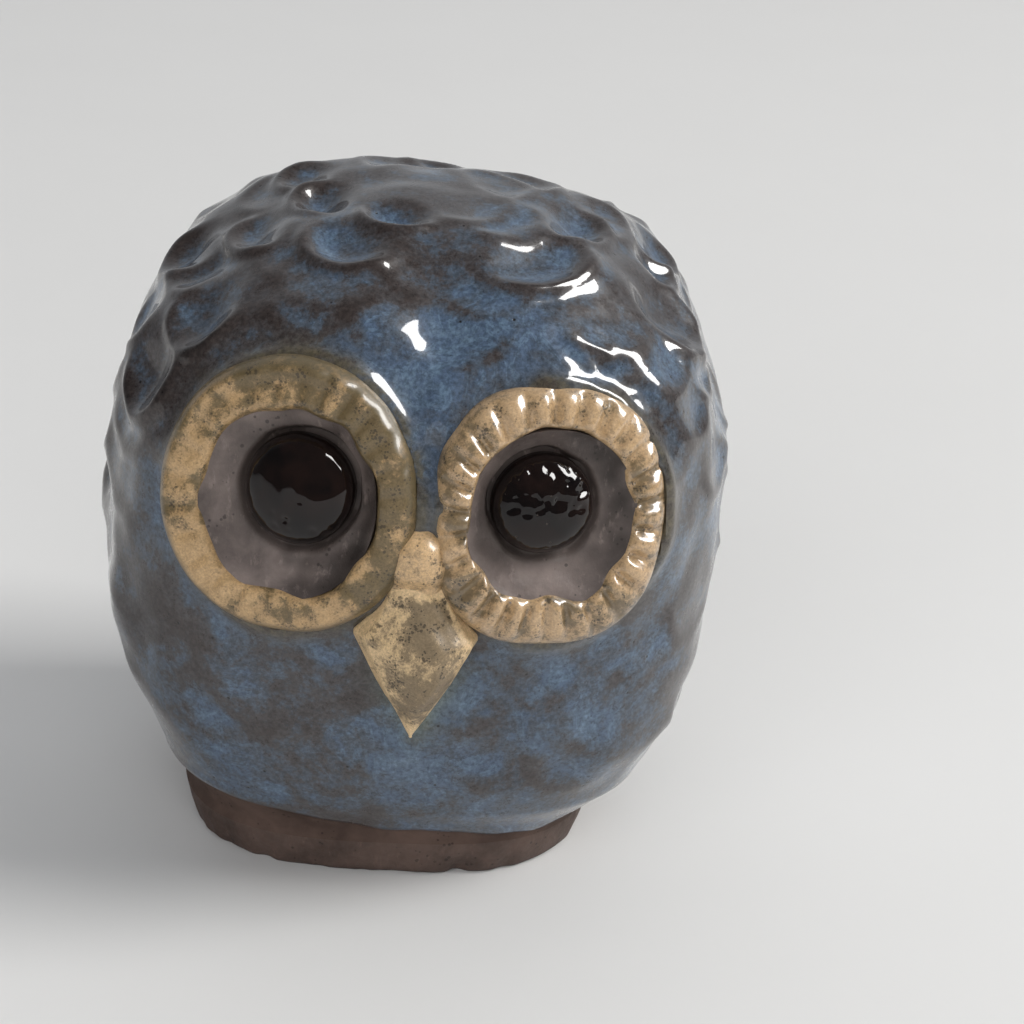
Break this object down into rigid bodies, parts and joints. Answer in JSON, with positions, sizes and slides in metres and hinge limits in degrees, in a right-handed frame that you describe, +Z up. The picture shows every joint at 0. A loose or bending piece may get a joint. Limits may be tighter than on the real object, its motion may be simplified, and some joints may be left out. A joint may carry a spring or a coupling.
{
  "type": "owl figurine",
  "caption": "Small hollow stoneware owl with a rounded body, fluted eye rings round dished eyes, a pointed beak and a flat unglazed foot.",
  "frame": {"origin": "middle of the foot's flat underside", "axes": "+Z up, the face looks towards -Y, +X to the right of someone who faces the owl"},
  "size_m": [0.076, 0.0722, 0.0811],
  "materials": {
    "blue_glaze": "glossy, mottled blue over brown",
    "ochre_glaze": "satin, speckled",
    "bare_clay": "matt, unglazed",
    "pupil_glaze": "mirror gloss"
  },
  "bodies": {
    "root": {"body_shell": "blue_glaze", "base_slab": "bare_clay", "beak": "ochre_glaze", "nose_bridge": "ochre_glaze", "left_eye_ring": "ochre_glaze", "right_eye_ring": "ochre_glaze", "left_eye_cup": "bare_clay", "right_eye_cup": "bare_clay", "left_pupil": "pupil_glaze", "right_pupil": "pupil_glaze"}
  },
  "joints": []
}
